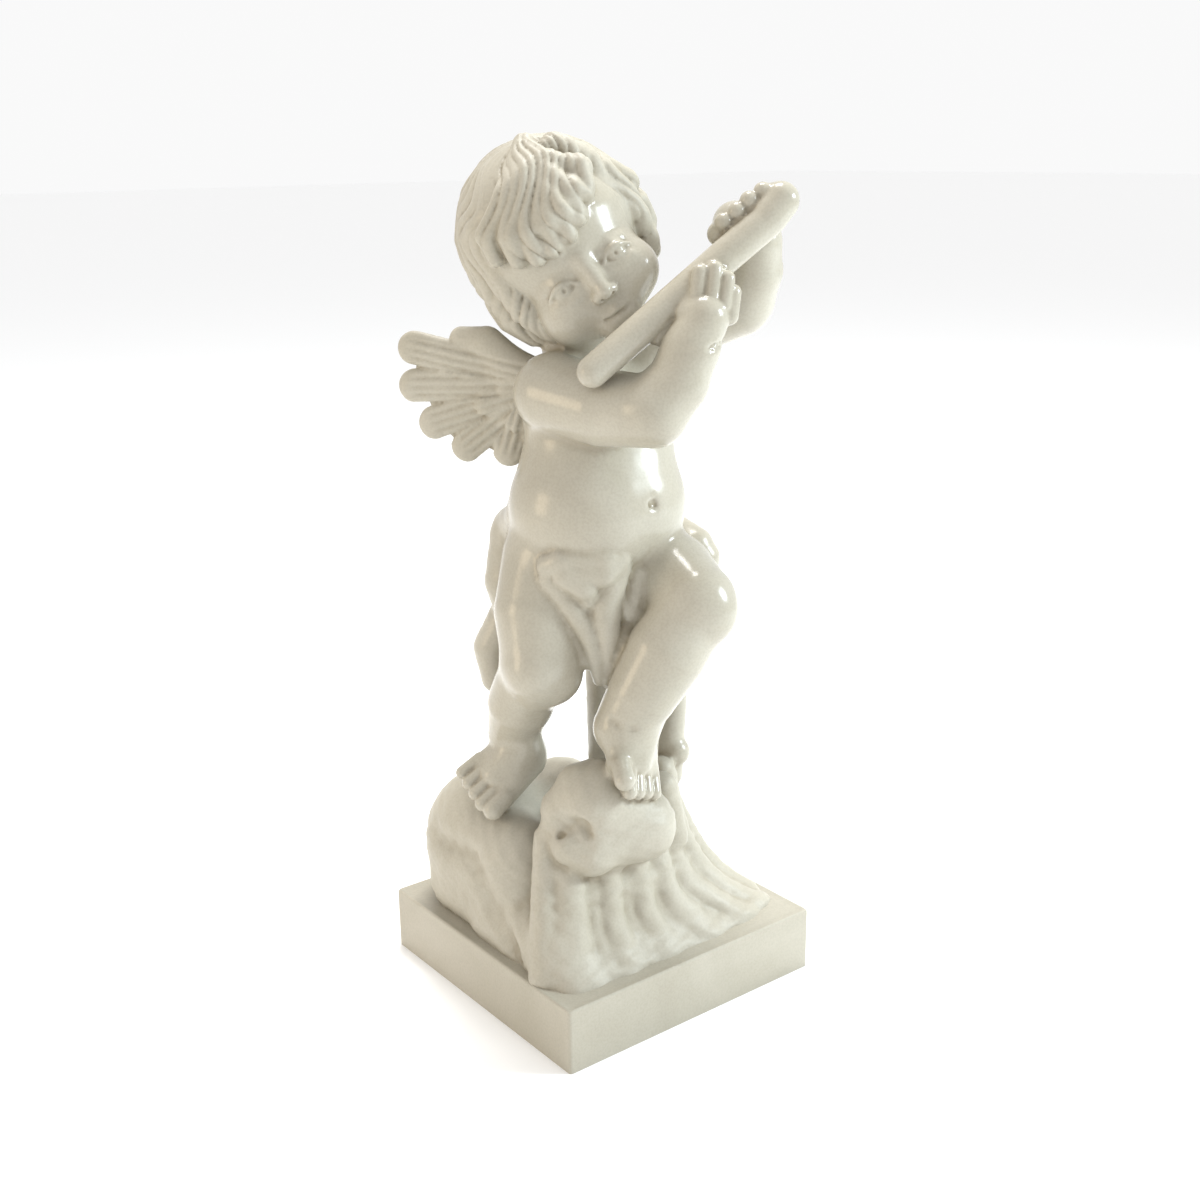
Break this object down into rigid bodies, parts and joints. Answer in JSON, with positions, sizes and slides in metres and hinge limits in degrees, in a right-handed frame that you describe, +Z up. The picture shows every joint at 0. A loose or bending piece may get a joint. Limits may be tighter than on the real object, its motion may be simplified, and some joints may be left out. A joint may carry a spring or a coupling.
{
  "type": "putto statue",
  "caption": "Stone garden statue of a winged putto playing a pipe, stepping on a curling wave, carved in one block with its square slab.",
  "frame": {"origin": "centre of the slab's square underside, on the ground", "axes": "+Z up; -Y the statue's front, the slab side that the wave's ribs run down to; +X the putto's left"},
  "size_m": [0.3173, 0.31, 0.839],
  "materials": {
    "marble": "polished warm white marble, mat in the carved grooves"
  },
  "bodies": {
    "root": {"statue": "marble"}
  },
  "joints": []
}
